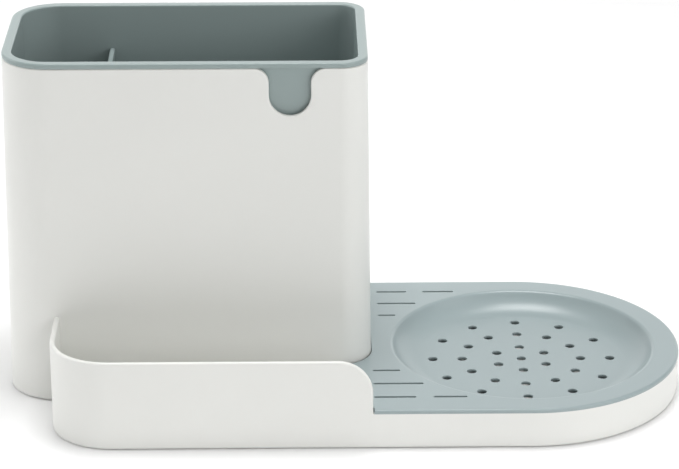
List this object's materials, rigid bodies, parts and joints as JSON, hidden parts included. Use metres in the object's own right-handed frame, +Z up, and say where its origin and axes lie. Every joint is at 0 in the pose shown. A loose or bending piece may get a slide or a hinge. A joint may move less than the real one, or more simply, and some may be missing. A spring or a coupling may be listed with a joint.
{
  "type": "kitchen sink caddy",
  "caption": "Countertop sink caddy: tall sleeve with a lift-out divided liner, a walled sponge bay and a lift-off drip tray with a round drain dish.",
  "frame": {"origin": "on the counter, under the middle of the caddy's length and depth", "axes": "+X along the caddy from the tall sleeve towards the round dish, +Y to the back, +Z up"},
  "size_m": [0.2854, 0.1334, 0.1491],
  "materials": {
    "white_plastic": "satin moulded",
    "liner_plastic": "satin moulded",
    "tray_plastic": "fine matte",
    "foot_rubber": "matte"
  },
  "bodies": {
    "caddy": {"caddy_body": "white_plastic", "foot_back_left": "foot_rubber", "foot_front_left": "foot_rubber", "foot_back_middle": "foot_rubber", "foot_front_middle": "foot_rubber", "foot_right_back": "foot_rubber", "foot_right_front": "foot_rubber"},
    "liner": {"liner": "liner_plastic"},
    "divider": {"divider": "liner_plastic"},
    "drip_tray": {"drip_tray": "tray_plastic"}
  },
  "joints": [
    {"name": "liner_lift", "type": "slide", "parent": "caddy", "child": "liner", "axis": [0, 0, 1], "range_m": [0, 0.15]},
    {"name": "divider_lift", "type": "slide", "parent": "liner", "child": "divider", "axis": [0, 0, 1], "range_m": [0, 0.15]},
    {"name": "tray_lift", "type": "slide", "parent": "caddy", "child": "drip_tray", "axis": [0, 0, 1], "range_m": [0, 0.04]}
  ]
}
